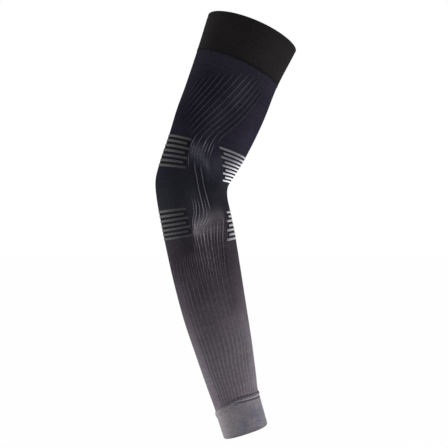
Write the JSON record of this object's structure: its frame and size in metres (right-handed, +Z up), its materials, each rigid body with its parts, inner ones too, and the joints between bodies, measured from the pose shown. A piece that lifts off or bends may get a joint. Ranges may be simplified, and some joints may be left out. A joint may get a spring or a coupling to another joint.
{
  "type": "arm sleeve",
  "caption": "Knitted compression arm sleeve in its worn form, slightly bent at the elbow, with a ribbed tube, a smooth upper cuff and a wrist cuff.",
  "frame": {"origin": "centre of the upper opening, in the plane of the upper cuff's rim", "axes": "+Z up along the hanging arm, +X from the back of the arm to the inside of the elbow, +Y across the bend, away from the picture's camera"},
  "size_m": [0.1517, 0.1018, 0.4559],
  "materials": {
    "upper_cuff_knit": "smooth black elastic knit, matt",
    "sleeve_knit": "ribbed dark knit that grades from navy black to grey, slight sheen",
    "wrist_cuff_knit": "smooth grey elastic knit, matt"
  },
  "bodies": {
    "root": {"upper_cuff": "upper_cuff_knit", "sleeve_body": "sleeve_knit", "wrist_cuff": "wrist_cuff_knit"}
  },
  "joints": []
}
